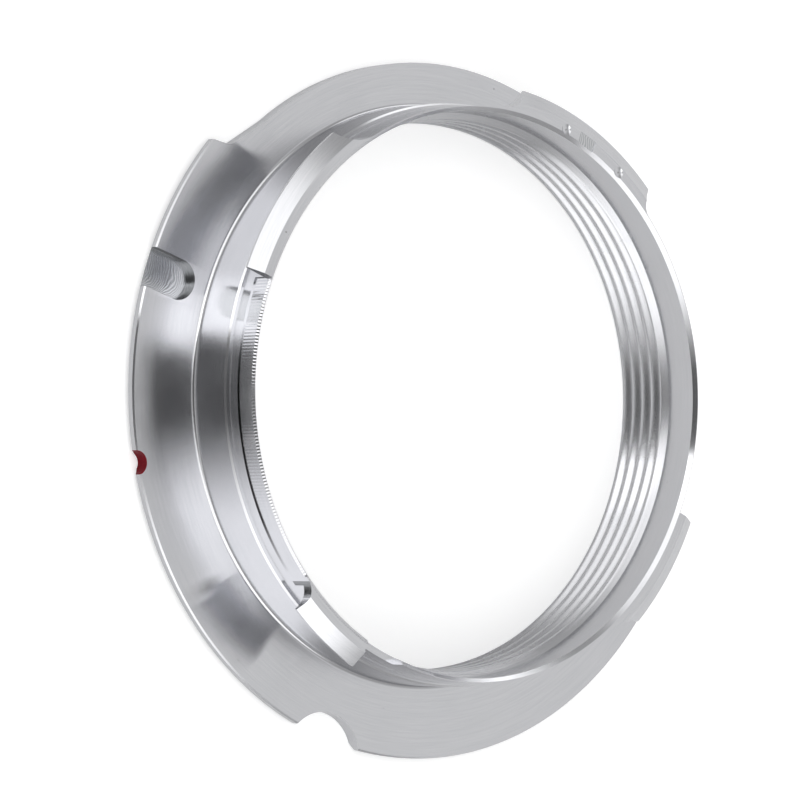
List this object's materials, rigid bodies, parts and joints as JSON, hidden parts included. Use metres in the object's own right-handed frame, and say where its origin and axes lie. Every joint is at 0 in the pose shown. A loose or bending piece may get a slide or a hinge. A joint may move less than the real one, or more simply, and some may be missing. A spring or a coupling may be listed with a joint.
{
  "type": "lens mount adapter",
  "caption": "Turned metal ring that screws onto a 39 mm thread lens and locks into a camera's bayonet mount, with a flange, milled lugs and a red index notch.",
  "frame": {"origin": "on the ring's axis, in the flange's front face, where the lens shoulder seats; the adapter lies on this face", "axes": "+Z along the ring's axis, from the flange towards the bayonet lugs; +X through the index mark on the flange's rim; +Y completes the right-handed frame"},
  "size_m": [0.0484, 0.0484, 0.0072],
  "materials": {
    "chrome_plated_brass": "satin chrome plating over turned and milled brass",
    "red_enamel": "gloss enamel"
  },
  "bodies": {
    "root": {"adapter_ring": "chrome_plated_brass", "index_mark_paint": "red_enamel"}
  },
  "joints": []
}
